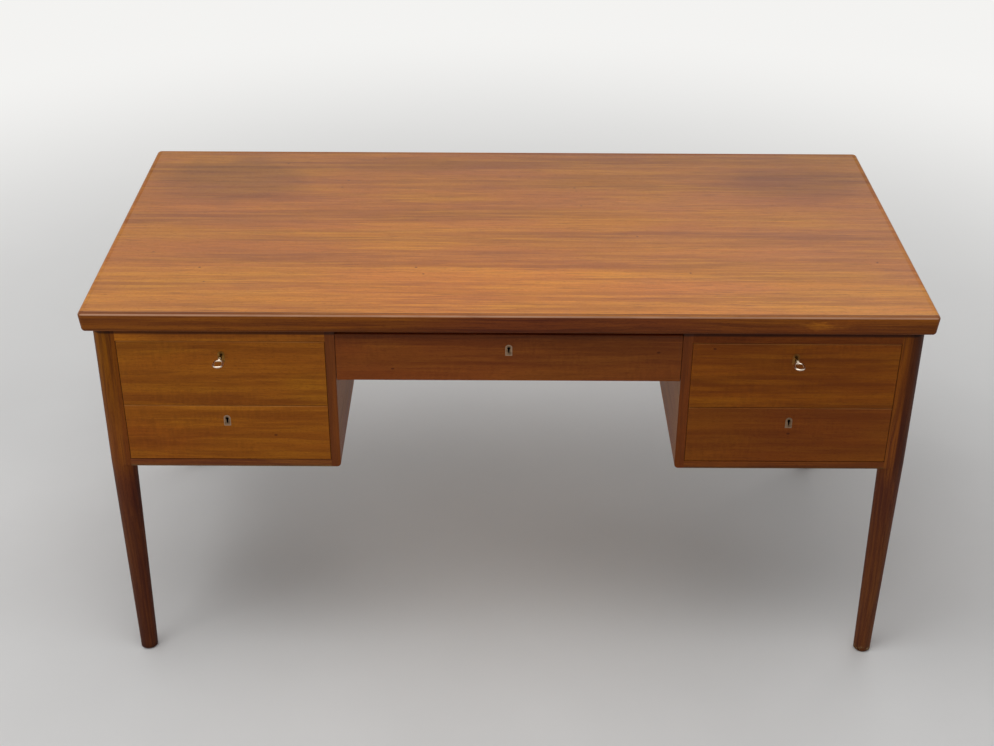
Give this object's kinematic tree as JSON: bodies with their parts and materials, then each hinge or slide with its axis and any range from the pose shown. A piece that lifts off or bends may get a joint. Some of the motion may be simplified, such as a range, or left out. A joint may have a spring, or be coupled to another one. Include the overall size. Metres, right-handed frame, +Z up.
{
  "type": "writing desk with drawers",
  "caption": "Teak writing desk: a lipped top on round tapered legs, hanging pedestals with locking dovetailed drawers, and a shallow drawer over the knee space.",
  "frame": {"origin": "on the floor, under the middle of the outline that the top and the keys make together", "axes": "+X to the right along the front, +Y from the front to the back, +Z up"},
  "size_m": [1.3988, 0.7224, 0.72],
  "materials": {
    "top_veneer": "oiled teak veneer",
    "lipping_wood": "oiled solid teak",
    "leg_wood": "oiled solid teak",
    "case_wood": "oiled teak veneer",
    "front_wood": "oiled teak veneer",
    "box_wood": "lacquered beech",
    "plate_brass": "dull, tarnished",
    "lock_steel": "dull",
    "bolt_brass": "satin",
    "key_nickel": "worn nickel plate"
  },
  "bodies": {
    "carcase": {"desk_top": "top_veneer", "top_lipping": "lipping_wood", "front_left_leg": "leg_wood", "front_right_leg": "leg_wood", "back_left_leg": "leg_wood", "back_right_leg": "leg_wood", "left_outer_side": "case_wood", "left_inner_side": "case_wood", "left_bottom": "case_wood", "left_back": "case_wood", "left_top_rail": "case_wood", "left_divider_rail": "case_wood", "left_runners": "box_wood", "right_outer_side": "case_wood", "right_inner_side": "case_wood", "right_bottom": "case_wood", "right_back": "case_wood", "right_top_rail": "case_wood", "right_divider_rail": "case_wood", "right_runners": "box_wood", "centre_rail": "case_wood", "knee_back_rail": "case_wood", "centre_runners": "box_wood"},
    "left_upper_drawer": {"left_upper_drawer_front": "front_wood", "left_upper_drawer_sides": "box_wood", "left_upper_drawer_back": "box_wood", "left_upper_drawer_bottom": "box_wood", "left_upper_drawer_keyhole_plate": "plate_brass", "left_upper_drawer_lock_case": "lock_steel"},
    "left_upper_bolt": {"left_upper_drawer_bolt": "bolt_brass"},
    "left_key": {"left_upper_drawer_key": "key_nickel"},
    "left_lower_drawer": {"left_lower_drawer_front": "front_wood", "left_lower_drawer_sides": "box_wood", "left_lower_drawer_back": "box_wood", "left_lower_drawer_bottom": "box_wood", "left_lower_drawer_keyhole_plate": "plate_brass", "left_lower_drawer_lock_case": "lock_steel"},
    "left_lower_bolt": {"left_lower_drawer_bolt": "bolt_brass"},
    "right_upper_drawer": {"right_upper_drawer_front": "front_wood", "right_upper_drawer_sides": "box_wood", "right_upper_drawer_back": "box_wood", "right_upper_drawer_bottom": "box_wood", "right_upper_drawer_keyhole_plate": "plate_brass", "right_upper_drawer_lock_case": "lock_steel"},
    "right_upper_bolt": {"right_upper_drawer_bolt": "bolt_brass"},
    "right_key": {"right_upper_drawer_key": "key_nickel"},
    "right_lower_drawer": {"right_lower_drawer_front": "front_wood", "right_lower_drawer_sides": "box_wood", "right_lower_drawer_back": "box_wood", "right_lower_drawer_bottom": "box_wood", "right_lower_drawer_keyhole_plate": "plate_brass", "right_lower_drawer_lock_case": "lock_steel"},
    "right_lower_bolt": {"right_lower_drawer_bolt": "bolt_brass"},
    "centre_drawer": {"centre_drawer_front": "front_wood", "centre_drawer_sides": "box_wood", "centre_drawer_back": "box_wood", "centre_drawer_bottom": "box_wood", "centre_drawer_keyhole_plate": "plate_brass", "centre_drawer_lock_case": "lock_steel"},
    "centre_bolt": {"centre_drawer_bolt": "bolt_brass"}
  },
  "joints": [
    {"name": "left_upper_drawer_slide", "type": "slide", "parent": "carcase", "child": "left_upper_drawer", "axis": [0, -1, 0], "range_m": [0, 0.4]},
    {"name": "left_upper_bolt_slide", "type": "slide", "parent": "left_upper_drawer", "child": "left_upper_bolt", "axis": [0, 0, 1], "range_m": [0, 0.008]},
    {"name": "left_key_turn", "type": "hinge", "parent": "left_upper_drawer", "child": "left_key", "pos_m": [-0.47565, -0.3185, 0.6352], "axis": [0, 1, 0], "range_deg": [0, 90]},
    {"name": "left_lower_drawer_slide", "type": "slide", "parent": "carcase", "child": "left_lower_drawer", "axis": [0, -1, 0], "range_m": [0, 0.4]},
    {"name": "left_lower_bolt_slide", "type": "slide", "parent": "left_lower_drawer", "child": "left_lower_bolt", "axis": [0, 0, 1], "range_m": [0, 0.008]},
    {"name": "right_upper_drawer_slide", "type": "slide", "parent": "carcase", "child": "right_upper_drawer", "axis": [0, -1, 0], "range_m": [0, 0.4]},
    {"name": "right_upper_bolt_slide", "type": "slide", "parent": "right_upper_drawer", "child": "right_upper_bolt", "axis": [0, 0, 1], "range_m": [0, 0.008]},
    {"name": "right_key_turn", "type": "hinge", "parent": "right_upper_drawer", "child": "right_key", "pos_m": [0.47565, -0.3185, 0.6352], "axis": [0, 1, 0], "range_deg": [0, 90]},
    {"name": "right_lower_drawer_slide", "type": "slide", "parent": "carcase", "child": "right_lower_drawer", "axis": [0, -1, 0], "range_m": [0, 0.4]},
    {"name": "right_lower_bolt_slide", "type": "slide", "parent": "right_lower_drawer", "child": "right_lower_bolt", "axis": [0, 0, 1], "range_m": [0, 0.008]},
    {"name": "centre_drawer_slide", "type": "slide", "parent": "carcase", "child": "centre_drawer", "axis": [0, -1, 0], "range_m": [0, 0.4]},
    {"name": "centre_bolt_slide", "type": "slide", "parent": "centre_drawer", "child": "centre_bolt", "axis": [0, 0, 1], "range_m": [0, 0.008]}
  ],
  "couplings": [
    {"joint": "left_upper_bolt_slide", "follows": "left_key_turn", "m_per_rad": 0.00509},
    {"joint": "right_upper_bolt_slide", "follows": "right_key_turn", "m_per_rad": 0.00509}
  ]
}
